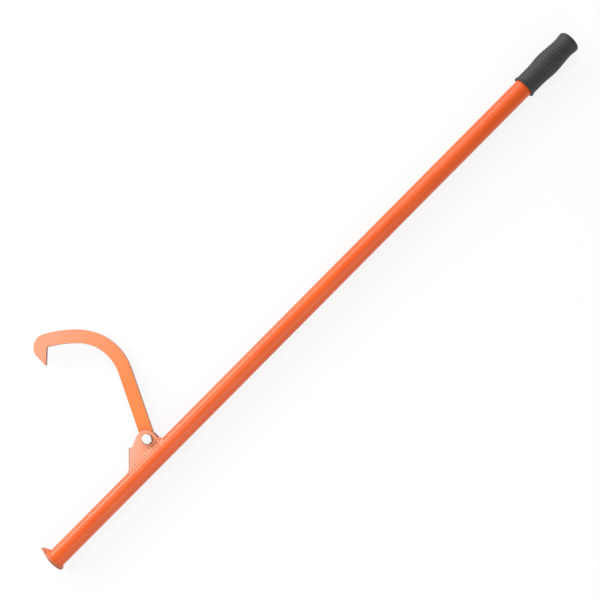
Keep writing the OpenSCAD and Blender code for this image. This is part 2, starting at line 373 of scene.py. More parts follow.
def on_tube(x, girth):
    """A point of the tube's surface: girth is the way round it from its top."""
    return Vector((x, tube_r * cos(girth / tube_r), tube_r * sin(girth / tube_r)))


def smooth_step(value, low, high):
    """0 below low, 1 above high, and a smooth rise between them."""
    t = min(1, max(0, (value - low) / (high - low)))
    return t * t * (3 - 2 * t)


def fillet(stations, crowns, closed, ripple, seams=()):
    """A run of weld in the corner of two surfaces, as a bmesh. Each station is its foot on the
    one, its root, and its foot on the other, with a crown that swells or hollows its face. row
    counts the ripples along the run. seams are the stretches along the tube where the groove
    between the run's two passes shows. Shade is painted in the groove there, and in broken
    stretches along the upper foot."""
    work = bmesh.new()
    row, rise, painted_shade = (work.verts.layers.float.new(label) for label in ("row", "rise", "edge"))
    middles = [(a + b) / 2 for a, _, b in stations]
    length, runs = 0, [0]
    for here, after in zip(middles, middles[1:] + middles[:1]):
        length += (after - here).length
        runs.append(length)
    pitch = length / round(length / ripple) if closed else ripple
    rings = []
    for (upper, root, lower), crown, run in zip(stations, crowns, runs):
        out = ((upper + lower) / 2 - root).normalized()
        bulge = out * (upper - lower).length * crown
        opened = sum(smooth_step(root.x, a - seam_fade, a + seam_fade)
                     - smooth_step(root.x, b - seam_fade, b + seam_fade) for a, b in seams)
        waves = sin(run / shade_wave + 1.2) + 0.5 * sin(run / shade_wave_short)
        broken = smooth_step(waves, *shade_span)
        ring = []
        for k in range(weld_sections + 1):
            t = k / weld_sections
            # Shade is painted in the groove, and in broken stretches along the upper foot.
            groove = opened * (1 - smooth_step(abs(t - seam_share), seam_core, seam_reach))
            foot = broken * (1 - smooth_step(t, foot_full, foot_end))
            v = work.verts.new(upper.lerp(lower, t) + bulge * 4 * t * (1 - t)
                               - out * seam_depth * groove)
            v[row] = run / pitch + ripple_bow * (2 * t - 1) ** 2
            v[rise] = min(1, 6 * t * (1 - t))
            v[painted_shade] = max(foot_shade * foot, seam_shade * groove)
            ring.append(v)
        ring.append(work.verts.new(root))
        rings.append(ring)
    for ring, after in zip(rings, rings[1:] + (rings[:1] if closed else [])):
        bridge(work, ring, after)
    if not closed:
        work.faces.new(rings[0][::-1])
        work.faces.new(rings[-1])
    bmesh.ops.recalc_face_normals(work, faces=work.faces)
    return work


def rows_tree(name):
    """Geometry Nodes that raise rows on a surface: the mesh's row counts them, and its rise is
    the share of the height that a place takes. Noise makes them wander and swell."""
    tree = bpy.data.node_groups.new(name, "GeometryNodeTree")
    sockets = (("Surface", "Geometry"), ("Row height", "Float"), ("Sharpness", "Float"),
               ("Wander", "Float"), ("Blotch size", "Float"), ("Swell", "Float"),
               ("Seed", "Float"), ("Finish", "Material"))
    for label, kind in sockets:
        tree.interface.new_socket(label, in_out="INPUT", socket_type="NodeSocket" + kind)
    tree.interface.new_socket("Surface", in_out="OUTPUT", socket_type="NodeSocketGeometry")
    given, last = tree.nodes.new("NodeGroupInput"), tree.nodes.new("NodeGroupOutput")
    row, rise = (shader(tree, "GeometryNodeInputNamedAttribute", {"Name": label}).outputs[0]
                 for label in ("row", "rise"))
    blotch = shader(tree, "ShaderNodeTexNoise", {"Detail": 2.0}, noise_dimensions="4D")
    tree.links.new(maths(tree, "DIVIDE", 1.0, given.outputs["Blotch size"]), blotch.inputs["Scale"])
    tree.links.new(given.outputs["Seed"], blotch.inputs["W"])
    uneven = maths(tree, "SUBTRACT", blotch.outputs[0], 0.5)
    place = maths(tree, "ADD", row, maths(tree, "MULTIPLY", uneven, given.outputs["Wander"]))
    crest = maths(tree, "ABSOLUTE", maths(tree, "SINE", maths(tree, "MULTIPLY", place, pi)))
    crest = maths(tree, "POWER", crest, given.outputs["Sharpness"])
    height = maths(tree, "MULTIPLY", crest, given.outputs["Row height"])
    height = maths(tree, "ADD", height, maths(tree, "MULTIPLY", uneven, given.outputs["Swell"]))
    height = maths(tree, "MULTIPLY", height, rise)
    away = shader(tree, "ShaderNodeVectorMath", operation="SCALE")
    tree.links.new(tree.nodes.new("GeometryNodeInputNormal").outputs[0], away.inputs[0])
    tree.links.new(height, away.inputs["Scale"])
    move = tree.nodes.new("GeometryNodeSetPosition")
    real = tree.nodes.new("GeometryNodeRealizeInstances")
    coat = tree.nodes.new("GeometryNodeSetMaterial")
    tree.links.new(given.outputs["Surface"], move.inputs["Geometry"])
    tree.links.new(away.outputs[0], move.inputs["Offset"])
    tree.links.new(move.outputs[0], real.inputs[0])
    tree.links.new(real.outputs[0], coat.inputs["Geometry"])
    tree.links.new(given.outputs["Finish"], coat.inputs["Material"])
    tree.links.new(coat.outputs[0], last.inputs[0])
    return tree


def run_tree(thing, tree, values):
    """Runs Geometry Nodes on a piece and leaves it a plain mesh."""
    nodes = thing.modifiers.new(tree.name, "NODES")
    nodes.node_group = tree
    for socket in tree.interface.items_tree:
        if socket.in_out == "INPUT" and socket.name in values:
            nodes[socket.identifier] = values[socket.name]
    settle(thing)


def toe_station(a):
    """The weld's feet and root at an angle round the tube, from its top."""
    side = abs(tube_r * sin(a)) if cos(a) > 0 else tube_r
    fade = backing_fade / 2
    backing = 1 - smooth_step(side, backing_half - fade, backing_half + fade)
    rise = toe_rise + (beak_foot - tube_r - toe_rise) * backing
    leg = toe_leg + (beak_back(tube_r) - toe_t - toe_leg) * backing
    out = Vector((0, cos(a), sin(a)))
    return (Vector((toe_t, (tube_r + rise) * cos(a), (tube_r + toe_rise) * sin(a))),
            Vector((toe_t, 0, 0)) + out * tube_r,
            Vector((toe_t + leg, 0, 0)) + out * tube_r)


weld_coat = powder_coat("weld powder coat", plate_orange, plate_orange_deep, plate_painted_shade)
ripples = rows_tree("weld ripples")
toe_run = [toe_station(2 * pi * i / toe_count) for i in range(toe_count)]
toe_bead = fillet(toe_run, [toe_crown] * toe_count, True, toe_ripple)
foot_weld = piece("toe_weld_coated", toe_bead, weld_coat)
run_tree(foot_weld, ripples, {
    "Row height": 0.12 * mm, "Sharpness": 0.7, "Wander": 0.9, "Blotch size": 5 * mm,
    "Swell": 0.5 * mm, "Seed": 1.0, "Finish": weld_coat,
})
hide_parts("toe_weld")
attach(foot_weld, "handle")

# Hook bracket
# The bracket is cut from 5 mm plate and folded twice into a channel: a web that slopes up
# from the tube, and two ears with a round top. The hook's bolt goes through the ears.
bracket_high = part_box("hook_bracket")[1]
bolt_low, bolt_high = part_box("pivot_bolt")
pivot = Vector((*bolt_low.lerp(bolt_high, 0.5).xy, 0))
plate_t = 5 * mm
ear_out = bracket_high.z
fold_r = 1.2 * mm
fold_out = fold_r + plate_t
web_slope = radians(46)
web_back = 33.4 * mm
web_rise = 13.6 * mm
web_top = Vector((pivot.x - web_back, pivot.y + web_rise))
ear_r = 18 * mm
ear_end = bracket_high.x
ear_middle = Vector((ear_end - ear_r, pivot.y))
bolt_hole_r = 5.25 * mm
bracket_edge = 0.6 * mm
fold_steps = 8
# Painted shade on the outside of the folds.
fold_shade = 1.3
fold_shade_depth = 1.8 * mm
fold_shade_end = 4.5 * mm
hole_sides = 64
drill_reach = 1.0
down_web = Vector((-cos(web_slope), -sin(web_slope)))
into_web = Vector((sin(web_slope), -cos(web_slope)))
web_half = ear_out - fold_out
fold_shade_in = web_half - 0.5 * mm
fold_shade_out = web_half + 1.5 * mm
fold_run = (fold_r + plate_t / 2) * pi / 2
bracket_orange = (0.89, 0.300, 0.145)
bracket_orange_deep = (0.87, 0.280, 0.130)
# A painted highlight makes the bracket paler up from the tube and towards the toe.
bracket_painted_highlight = (0.90, 0.395, 0.260)
bracket_painted_shade = (0.36, 0.16, 0.11)
bracket_highlight_from = -104 * mm
bracket_highlight_to = -74 * mm


def to_blank(point):
    """A point of the ear's outline, on the flat plate before it is folded."""
    way = Vector(point) - web_top
    return (way.dot(down_web), web_half + fold_run + way.dot(into_web) - fold_out)


def tube_top(z):
    """Height of the tube's surface above its axis, at a distance to the side."""
    return sqrt(tube_r ** 2 - z ** 2)


def fold_foot(turn):
    """Where the outside of the fold meets the tube, for a turn from the web to the ear."""
    z = web_half + fold_out * sin(turn)
    y = tube_top(z)
    x = web_top.x - (web_top.y - y) / tan(web_slope) + fold_out * (1 - cos(turn)) / sin(web_slope)
    return Vector((x, y, z))


def folded(p):
    """Folds a point of the flat plate: p.x down the web, p.y across it, p.z into the plate."""
    side, across = (1 if p.y > 0 else -1), abs(p.y)
    turn = min(1, max(0, (across - web_half) / fold_run)) * pi / 2
    radius = fold_out - p.z
    past_fold = max(0, across - web_half - fold_run)
    depth = fold_out - radius * cos(turn) + past_fold
    z = min(across, web_half) + radius * sin(turn)
    place = web_top + down_web * p.x + into_web * depth
    surface_y = tube_top(z)
    if place.y < surface_y:
        slide = (surface_y - place.y) / sin(web_slope)
        place = Vector((place.x, surface_y)) if past_fold else place - down_web * slide
    return Vector((place.x, place.y, side * z))


web_inner = web_top + into_web * fold_out
ear_way = ear_middle - web_inner
ear_lift = atan2(ear_way.y, ear_way.x) + asin(ear_r / ear_way.length)
foot_points = [fold_foot(pi / 2 * i / fold_steps) for i in range(fold_steps + 1)]
half_blank = [
    (0, 0), (0, web_half + fold_run),
    *[to_blank(p) for p in arc(ear_middle, ear_r, pi / 2 + ear_lift, 0)],
    to_blank((ear_end, tube_top(ear_out))),
    *[((p.xy - web_top).dot(down_web), web_half + fold_run * (1 - i / fold_steps))
      for i, p in enumerate(foot_points[::-1])],
    ((foot_points[0].xy - web_top).dot(down_web), 0),
]
blank = half_blank[::-1] + [(x, -y) for x, y in half_blank[1:-1]]
if sum(a[0] * b[1] - a[1] * b[0] for a, b in zip(blank, blank[1:] + blank[:1])) < 0:
    blank = blank[::-1]
fold_lines = [((0, side * (web_half + fold_run * i / fold_steps)), (0, 1))
              for side in (-1, 1) for i in range(fold_steps + 1)]


def at_bolt(s, a, b):
    """A turned piece's place where its axis is the bolt's."""
    return Vector((pivot.x + a, pivot.y + b, s))


def drill(thing, radius):
    """Drills a hole for the bolt through a piece."""
    outline = [(-drill_reach, 0), (-drill_reach, radius), (drill_reach, radius), (drill_reach, 0)]
    tool = piece("drill", turned(outline, hole_sides, at_bolt), thing.data.materials[0])
    cut = thing.modifiers.new("hole", "BOOLEAN")
    cut.object = tool
    cut.operation = "DIFFERENCE"
    cut.solver = "EXACT"
    settle(thing)
    bpy.data.objects.remove(tool)


bracket_coat = powder_coat("bracket powder coat", bracket_orange, bracket_orange_deep, bracket_painted_shade,
                           painted_highlight=(bracket_painted_highlight, bracket_highlight_from, bracket_highlight_to))
bracket_plate = flat_plate(blank, 0, plate_t, bracket_edge, folded, cuts=fold_lines)
bracket = piece("hook_bracket_coated", bracket_plate, bracket_coat)
drill(bracket, bolt_hole_r)
# Shade is painted on the outside of the folds
fold_painted_shade = bracket.data.attributes["edge"].data
for v, shaded in zip(bracket.data.vertices, fold_painted_shade):
    depth = (v.co.xy - web_top).dot(into_web)
    outside = 1 - smooth_step(depth, fold_shade_depth, fold_shade_end)
    curved = smooth_step(abs(v.co.z), fold_shade_in, fold_shade_out)
    shaded.value = max(shaded.value, fold_shade * outside * curved)
even_shading(bracket)
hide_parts("hook_bracket")
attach(bracket, "handle")

# Bracket welds
# A run of weld on each side starts in the middle of the web's foot, goes round the fold and
# along the ear's foot, and closes round the ear's end with a heavier, hollow-faced fillet,
# in which the arc left a small crater.
web_leg = 3.6 * mm
ear_leg = 4.5 * mm
end_leg = 6 * mm
pool_leg = 8 * mm
pool_from = 0.84
pool_full = 0.97
early_climb = 1.2 * mm
early_full = 0.1
early_from = 0.3
early_end = 0.6
bead_crown = 0.04
pool_crown = -0.10
crown_from = 0.78
crown_full = 0.86
web_spots = 6
fold_spots = 12
ear_spots = 150
turn_spots = 14
inner_spots = 12
crater_x = 261.5 * mm
crater_floor_r = 0.32 * mm
crater_rim_r = 2.24 * mm
crater_depth = 1.0 * mm
crater_shade = 1.2
bead_ripple = 1.8 * mm
bead_seams = ((197 * mm, 217 * mm), (225 * mm, 239 * mm))
bead_orange = (0.84, 0.250, 0.105)
bead_orange_deep = (0.80, 0.225, 0.090)
slot_half = 4.3 * mm


def bead_stations():
    """The run's stations: foot on the bracket, root, and foot on the tube."""
    spots = []

    def station(x, z, turn, slope, leg, climb=None):
        girth = tube_r * asin(z / tube_r)
        root = on_tube(x, girth)
        upper = root + Vector((cos(slope), sin(slope), 0)) * (climb or leg)
        lower = on_tube(x - leg * cos(turn), girth + leg * sin(turn))
        spots.append((upper, root, lower))

    web_x = foot_points[0].x
    for i in range(web_spots):
        station(web_x, web_half * i / web_spots, 0, web_slope, web_leg)
    for i in range(fold_spots + 1):
        share = i / fold_spots
        foot = fold_foot(pi / 2 * share)
        leg = web_leg + (ear_leg - web_leg) * share
        station(foot.x, foot.z, pi / 2 * share, web_slope + (pi / 2 - web_slope) * share, leg)
    start = foot_points[-1].x
    for i in range(1, ear_spots + 1):
        share = i / ear_spots
        grown = smooth_step(share, pool_from, pool_full)
        swollen = smooth_step(share, 0, early_full) - smooth_step(share, early_from, early_end)
        leg = ear_leg + (end_leg - ear_leg) * grown
        climb = ear_leg + early_climb * swollen + (pool_leg - ear_leg) * grown
        station(start + (ear_end - start) * share, ear_out, pi / 2, pi / 2, leg, climb)
    for i in range(1, turn_spots + 1):
        station(ear_end, ear_out, pi / 2 * (1 + i / turn_spots), pi / 2, end_leg, pool_leg)
    for i in range(1, inner_spots + 1):
        z = ear_out + (slot_half - ear_out) * i / inner_spots
        station(ear_end, z, pi, pi / 2, end_leg, pool_leg)
    return spots


bead_coat = powder_coat("bracket weld coat", bead_orange, bead_orange_deep, plate_painted_shade)
near_run = bead_stations()
end_spot = min(near_run, key=lambda spot: abs(spot[1].x - crater_x))
crater_at = end_spot[0].lerp(end_spot[2], 0.5)
crater_way = (end_spot[1] - crater_at).normalized()
for side, suffix, seed in ((1, "near", 2.0), (-1, "far", 7.0)):
    run = [tuple(Vector((p.x, p.y, side * p.z)) for p in spot) for spot in near_run]
    hollow = [smooth_step(i / len(run), crown_from, crown_full) for i in range(len(run))]
    crowns = [bead_crown + (pool_crown - bead_crown) * share for share in hollow]
    work = fillet(run, crowns, False, bead_ripple, seams=bead_seams)
    painted_shade = work.verts.layers.float["edge"]
    crater = Vector((crater_at.x, crater_at.y, side * crater_at.z))
    # The crater is sunk into the bead, and shade is painted in it.
    for v in work.verts:
        sunk = 1 - smooth_step((v.co - crater).length, crater_floor_r, crater_rim_r)
        v.co += Vector((crater_way.x, crater_way.y, side * crater_way.z)) * crater_depth * sunk
        v[painted_shade] = max(v[painted_shade], crater_shade * sunk)
    bead = piece("bracket_weld_" + suffix + "_coated", work, bead_coat)
    run_tree(bead, ripples, {
        "Row height": 0.14 * mm, "Sharpness": 0.7, "Wander": 1.1, "Blotch size": 7 * mm,
        "Swell": 0.6 * mm, "Seed": seed, "Finish": bead_coat,
    })
    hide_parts("bracket_weld_" + suffix)
    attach(bead, "handle")

# Hook
# The swinging hook is cut from 8 mm flat steel in one curved piece: a straight arm, a wide
# bend, a long flat crook and a sharp point. It turns freely on its bolt between the ears.
hook_low, hook_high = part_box("hook")
hook_t = hook_high.z - hook_low.z
hook_w = 23 * mm
hook_hole_r = 5.08 * mm
arm_lean = radians(65.2)
arm_len = 121.5 * mm
bend_r = 89 * mm
bend_turn = radians(69.3)
crook_r = 205 * mm
crook_turn = radians(15.7)
point_turn = radians(120)
point_len = 22 * mm
notch_r = 1.2 * mm
tip_r = 0.8 * mm
hook_edge = 0.6 * mm
curve_step = radians(2)
shoulder_step = radians(4)
corner_step = radians(12)
notch_room = radians(0.6)
hook_orange = (0.90, 0.217, 0.036)
hook_orange_deep = (0.87, 0.195, 0.032)
# A painted highlight makes the hook paler up from the tube, towards its head.
hook_painted_highlight = (0.90, 0.290, 0.150)
hook_painted_shade = (0.30, 0.085, 0.035)
hook_highlight_from = -30 * mm
hook_highlight_to = 150 * mm


def spot(centre, radius, angle):
    """The point at an angle round a centre."""
    return Vector((centre[0] + radius * cos(angle), centre[1] + radius * sin(angle)))


def eased(before, corner, after, radius):
    """A corner of an outline, rounded to a radius."""
    into, out = (Vector(before) - corner).normalized(), (Vector(after) - corner).normalized()
    half = acos(into.dot(out)) / 2
    middle = corner + (into + out).normalized() * (radius / sin(half))
    first, last = (corner + way * (radius / tan(half)) - middle for way in (into, out))
    turn = first.angle_signed(last)
    start = atan2(first.y, first.x)
    return arc(middle, radius, start, start - turn, corner_step)


half_w = hook_w / 2
bend_end = bend_turn - pi / 2
crook_end = bend_end + crook_turn
point_end = crook_end + point_turn
bend_middle = Vector((arm_len, bend_r))
crook_middle = spot(bend_middle, bend_r - crook_r, bend_end)
notch = spot(crook_middle, crook_r - half_w, crook_end)
shoulder = spot(notch, hook_w, point_end)
tip = shoulder + Vector((-sin(point_end), cos(point_end))) * point_len
inner_run = arc(crook_middle, crook_r - half_w, crook_end - notch_room, bend_end, curve_step)
hook_outline = [
    *arc((0, 0), half_w, pi / 2, 3 * pi / 2),
    *arc(bend_middle, bend_r + half_w, -pi / 2, bend_end, curve_step),
    *arc(crook_middle, crook_r + half_w, bend_end, crook_end, curve_step)[1:],
    *arc(notch, hook_w, crook_end, point_end, shoulder_step)[1:],
    *eased(shoulder, tip, notch, tip_r),
    *eased(tip, notch, inner_run[0], notch_r),
    *inner_run,
    *arc(bend_middle, bend_r - half_w, bend_end, -pi / 2, curve_step)[1:],
]
lean = Matrix.Rotation(arm_lean, 3, "Z")


def at_pivot(p):
    """The hook's place: its outline's X runs up its arm."""
    return lean @ Vector(p) + pivot


hook_coat = powder_coat("hook powder coat", hook_orange, hook_orange_deep, hook_painted_shade,
                        painted_highlight=(hook_painted_highlight, hook_highlight_from, hook_highlight_to))
hook_plate = flat_plate(hook_outline, -hook_t / 2, hook_t / 2, hook_edge, at_pivot)
hook = piece("hook_coated", hook_plate, hook_coat)
drill(hook, hook_hole_r)
even_shading(hook)
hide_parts("hook")
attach(hook, "hook")

# Pivot bolt
# A zinc-plated hexagon bolt is the hook's pin. Its head lies on the near ear, and its thread
# ends just past the lock nut on the far side.
hex_flats = 16 * mm
hex_ring = 0.92
hex_shares = (0, 0.03, 0.12, 0.3, 0.5, 0.7, 0.88, 0.97)
hex_chamfer = radians(30)
hex_lift = 0.02 * mm
hex_edge = 0.25 * mm
corner_limit = radians(25)
bolt_r = 5 * mm
bolt_chamfer = 1 * mm
thread_pitch = 1.5 * mm
thread_depth = 0.75 * mm
thread_len = 18 * mm
thread_steps = 10
thread_sides = 48
zinc = (0.88, 0.885, 0.90)
zinc_dull = (0.84, 0.85, 0.86)
zinc_painted_shade = (0.34, 0.33, 0.33)
zinc_rough = (0.39, 0.47)
zinc_patch = 4 * mm
zinc_patch_span = (0.45, 0.7)
zinc_sheen = 2 * mm
zinc_grain = 0.25 * mm
zinc_grain_depth = 0.004 * mm
zinc_relief = 0.5


def bright_zinc(name):
    """Bright zinc plate: a fine grain, uneven sheen, small dull patches, and painted shade on the
    sides.
    """
    made, tree, main = surface(name)
    dull = ranged(tree, noise(tree, zinc_patch, 3), *zinc_patch_span, 0, 1)
    side = shader(tree, "ShaderNodeAttribute", attribute_name="edge")
    body = blended(tree, dull, zinc, zinc_dull)
    tree.links.new(blended(tree, side.outputs["Fac"], body, zinc_painted_shade), main.inputs["Base Color"])
    sheen = ranged(tree, noise(tree, zinc_sheen, 3), *sheen_span, *zinc_rough)
    tree.links.new(sheen, main.inputs["Roughness"])
    main.inputs["Metallic"].default_value = 1
    bumped(tree, main, noise(tree, zinc_grain, 2), zinc_grain_depth, zinc_relief)
    return made


def hexagon():
    """Directions and radii round the bolt's hexagon, corners on X, flats towards the tube."""
    points = []
    for side in range(6):
        for share in hex_shares:
            a = (side + share) * pi / 3
            points.append((a, hex_flats / 2 / cos(a - (side + 0.5) * pi / 3)))
    return points


def hex_block(low, high, bore, both=False):
    """A hexagonal block about the pivot, from its low face to its high one, with a bore. Its
    corners are chamfered at the high end, or at both. A level without a radius is the hexagon."""
    work = bmesh.new()
    ring_r = hex_flats / 2 * hex_ring
    painted_shade = work.verts.layers.float.new("edge")
    way = 1 if high > low else -1
    corners = hexagon()
    levels = [(low, bore), (low, ring_r), (low + way * hex_lift, None),
              (high, None), (high, ring_r), (high, bore)]
    rings = []
    for z, radius in levels:
        ring = []
        for a, edge in corners:
            r = edge if radius is None else radius
            fall = way * max(0, edge - ring_r) * tan(hex_chamfer) if radius is None else 0
            lift = -fall if z == high else fall if both else 0
            v = work.verts.new((pivot.x + r * cos(a), pivot.y + r * sin(a), z + lift))
            # The hexagon's sides get painted shade.
            v[painted_shade] = 1 if radius is None else 0
            ring.append(v)
        rings.append(ring)
    for ring, after in zip(rings, rings[1:] + rings[:1]):
        bridge(work, ring, after)
    bmesh.ops.remove_doubles(work, verts=work.verts, dist=same_point)
    bmesh.ops.recalc_face_normals(work, faces=work.faces)
    return work


def soften(thing):
    """Rounds a hexagon's corners with a small bevel."""
    bevel = thing.modifiers.new("soft corners", "BEVEL")
    bevel.width = hex_edge
    bevel.segments = 2
    bevel.limit_method = "ANGLE"
    bevel.angle_limit = corner_limit
    even_shading(thing)


def threaded_rod(low, high, start):
    """The bolt's shank from its chamfered end, low, with its thread below start."""
    count = ceil((start - low) / (thread_pitch / thread_steps))
    stations = [low + (start - low) * i / count for i in range(count + 1)]
    skin = [(z, bolt_r - max(0, bolt_chamfer - (z - low))) for z in stations]
    work = turned([(low, 0), *skin, (high, bolt_r), (high, 0)], thread_sides, at_bolt)
    row, rise = work.verts.layers.float.new("row"), work.verts.layers.float.new("rise")
    for v in work.verts:
        out = v.co - pivot
        v[row] = out.z / thread_pitch + atan2(out.y, out.x) / (2 * pi)
        if out.z < start:
            run_out = min(1, (start - out.z) / thread_pitch)
            v[rise] = run_out * smooth_step(out.xy.length, 0.8 * bolt_r, bolt_r)
    return work


steel = bright_zinc("bright zinc plate")
shank = piece("bolt_shank", threaded_rod(bolt_low.z, ear_out, bolt_low.z + thread_len), steel)
run_tree(shank, rows_tree("screw thread"), {
    "Row height": -thread_depth, "Sharpness": 1.0, "Wander": 0.0, "Blotch size": 1.0,
    "Swell": 0.0, "Seed": 0.0, "Finish": steel,
})
head = piece("bolt_head", hex_block(ear_out, bolt_high.z, 0), steel)
soften(head)
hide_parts("pivot_bolt")
for part in (head, shank):
    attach(part, "handle")

# Washer and lock nut
# A plain washer lies on the far ear. The lock nut has a round collar that is closed over a
# nylon ring, which grips the thread, so the nut holds without squeezing the ears.
washer_low, washer_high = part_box("nut_washer")
nut_low, nut_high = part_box("lock_nut")
washer_r = (washer_high.y - washer_low.y) / 2
washer_edge = 0.35 * mm
ring_sides = 96
collar_h = 3 * mm
collar_r = 7.4 * mm
collar_wall = 1 * mm
collar_round = 1.2 * mm
collar_step = radians(15)
collar_mouth_r = 5.9 * mm
collar_mouth_edge = 0.3 * mm
collar_mouth_depth = 0.8 * mm
collar_seat = 0.4 * mm
nylon_white = (0.74, 0.76, 0.76)
nylon_grey = (0.62, 0.66, 0.70)
nylon_rough = 0.45
nylon_mottle = 1 * mm
nylon_grain = 0.4 * mm
nylon_grain_depth = 0.02 * mm
nylon_relief = 0.5
washer_outline = [
    *arc((washer_low.z + washer_edge, washer_r - washer_edge), washer_edge, pi, pi / 2, edge_step),
    *arc((washer_high.z - washer_edge, washer_r - washer_edge), washer_edge, pi / 2, 0, edge_step),
    (washer_high.z, bolt_hole_r),
    (washer_low.z, bolt_hole_r),
]
washer = piece("nut_washer_plated", turned(washer_outline, ring_sides, at_bolt), steel)
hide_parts("nut_washer")
nut_body = hex_block(nut_high.z, nut_low.z + collar_h, bolt_r, both=True)
nut = piece("lock_nut_body", nut_body, steel)
soften(nut)
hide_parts("lock_nut")
collar_end = nut_low.z + collar_h + collar_seat
collar_inner_r = collar_r - collar_wall
collar_outline = [
    (collar_end, collar_r),
    *arc((nut_low.z + collar_round, collar_r - collar_round), collar_round, pi / 2, pi, collar_step),
    (nut_low.z, collar_mouth_r + collar_mouth_edge),
    (nut_low.z + collar_mouth_edge, collar_mouth_r),
    (nut_low.z + collar_mouth_depth, collar_mouth_r),
    (nut_low.z + collar_mouth_depth, collar_inner_r),
    (collar_end, collar_inner_r),
]
collar = piece("lock_nut_collar", turned(collar_outline, ring_sides, at_bolt), steel)
for part in (washer, nut, collar):
    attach(part, "handle")

nylon, nylon_tree, nylon_main = surface("white nylon")
nylon_body = blended(nylon_tree, noise(nylon_tree, nylon_mottle), nylon_grey, nylon_white)
nylon_tree.links.new(nylon_body, nylon_main.inputs["Base Color"])
nylon_main.inputs["Roughness"].default_value = nylon_rough
bumped(nylon_tree, nylon_main, noise(nylon_tree, nylon_grain), nylon_grain_depth, nylon_relief)
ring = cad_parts["nut_insert"]
ring.data.materials.clear()
ring.data.materials.append(nylon)

# Rubber grip
# A moulded black rubber sleeve is pulled over the tube's end. It has a lip at its mouth, a
# belly with shallow finger grooves, a waist and a flared, rounded end.
grip_low, grip_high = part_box("rubber_grip")
grip_len = grip_high.x - grip_low.x
grip_wall = 2.9 * mm
neck_r = tube_r + grip_wall
grip_fit = 0.05 * mm
bore_chamfer = 0.5 * mm
mouth_drop = 0.4 * mm
mouth_round = 0.6 * mm
lip_rise = 1.3 * mm
lip_width = 2 * mm
neck_start = 5.5 * mm
belly_start = 26 * mm
belly_middle = 55 * mm
belly_rise = 1.8 * mm
waist_back = 17 * mm
waist_drop = 0.6 * mm
flare_rise = 0.6 * mm
end_round = 5 * mm
groove_middle = 53 * mm
groove_count = 8
groove_pitch = 6.1 * mm
groove_depth = 0.5 * mm
skin_slack = 0.1 * mm
groove_side = 0.1
groove_face = 0.75
grip_step = 0.45 * mm
end_step = radians(10)
rubber_black = (0.024, 0.024, 0.025)
rubber_grey = (0.045, 0.045, 0.046)
rubber_rough = (0.52, 0.66)
rubber_gloss = 0.5
rubber_sheen = 3 * mm
bloom_size = 6 * mm
bloom_span = (0.4, 0.7)
bloom_share = 0.6
speck_size = 0.7 * mm
speck_span = (0.55, 0.7)
speck_share = 0.5
rubber_grain = 1.0 * mm
rubber_grain_depth = 0.12 * mm
rubber_grain_relief = 0.8
rubber_grit = 0.3 * mm
rubber_grit_depth = 0.03 * mm
rubber_grit_relief = 0.6
grip_stations = [
    (0, neck_r + lip_rise - mouth_drop),
    (mouth_round, neck_r + lip_rise),
    (lip_width, neck_r + lip_rise),
    (neck_start, neck_r),
    (belly_start, neck_r),
    (belly_middle, neck_r + belly_rise),
    (grip_len - waist_back, neck_r - waist_drop),
    (grip_len - end_round, neck_r + flare_rise),
]


def grip_radius(s):
    """The grip's radius at a distance from its mouth."""
    for (s0, r0), (s1, r1) in zip(grip_stations, grip_stations[1:]):
        if s <= s1:
            return r0 + (r1 - r0) * (1 - cos(pi * (s - s0) / (s1 - s0))) / 2
    return grip_stations[-1][1]


def grip_outline():
    """The sleeve's outline, from the mouth over the end, and back along its bore."""
    reach = grip_len - end_round
    count = ceil(reach / grip_step)
    outer = [(reach * i / count, grip_radius(reach * i / count)) for i in range(count + 1)]
    end = arc((reach, grip_stations[-1][1] - end_round), end_round, pi / 2, 0, end_step)
    bore_r = tube_r + grip_fit
    inner_end = tube_high.x - grip_low.x
    inner = [
        (grip_len, 0), (inner_end, 0), (inner_end, bore_r),
        (mouth_round, bore_r), (0, bore_r + bore_chamfer),
    ]
    return [(grip_low.x + s, r) for s, r in outer + end[1:] + inner]


def moulded_rubber(name):
    """Matte moulded rubber: a fine even grain, a dusty bloom in blotches, small grey specks, dull
    sheen.
    """
    made, tree, main = surface(name)
    bloom = ranged(tree, noise(tree, bloom_size, 4, 0.6), *bloom_span, 0, bloom_share)
    speck = ranged(tree, noise(tree, speck_size, 1), *speck_span, 0, speck_share)
    body = blended(tree, bloom, rubber_black, rubber_grey)
    tree.links.new(blended(tree, speck, body, rubber_grey), main.inputs["Base Color"])
    sheen = ranged(tree, noise(tree, rubber_sheen, 3), *sheen_span, *rubber_rough)
    tree.links.new(sheen, main.inputs["Roughness"])
    main.inputs["Specular IOR Level"].default_value = rubber_gloss
    grain = noise(tree, rubber_grain, 2)
    grained = bumped(tree, main, grain, rubber_grain_depth, rubber_grain_relief)
    grit = noise(tree, rubber_grit, 1)
    bumped(tree, main, grit, rubber_grit_depth, rubber_grit_relief, grained)
    return made


rubber = moulded_rubber("black moulded rubber")
sleeve = turned(grip_outline(), round_sides, along_x)
# Row counts the finger grooves. They are deepest on the near and far sides and fade between them
row, rise = sleeve.verts.layers.float.new("row"), sleeve.verts.layers.float.new("rise")
for v in sleeve.verts:
    count = (v.co.x - grip_low.x - groove_middle) / groove_pitch + groove_count / 2
    v[row] = count
    on_skin = v.co.yz.length > neck_r - waist_drop - skin_slack
    if on_skin and 0 < count < groove_count:
        v[rise] = smooth_step(abs(v.co.z) / v.co.yz.length, groove_side, groove_face)
grip = piece("rubber_grip_moulded", sleeve, rubber)
run_tree(grip, rows_tree("finger grooves"), {
    "Row height": -groove_depth, "Sharpness": 2.0, "Wander": 0.0, "Blotch size": 1.0,
    "Swell": 0.0, "Seed": 0.0, "Finish": rubber,
})
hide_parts("rubber_grip")
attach(grip, "handle")

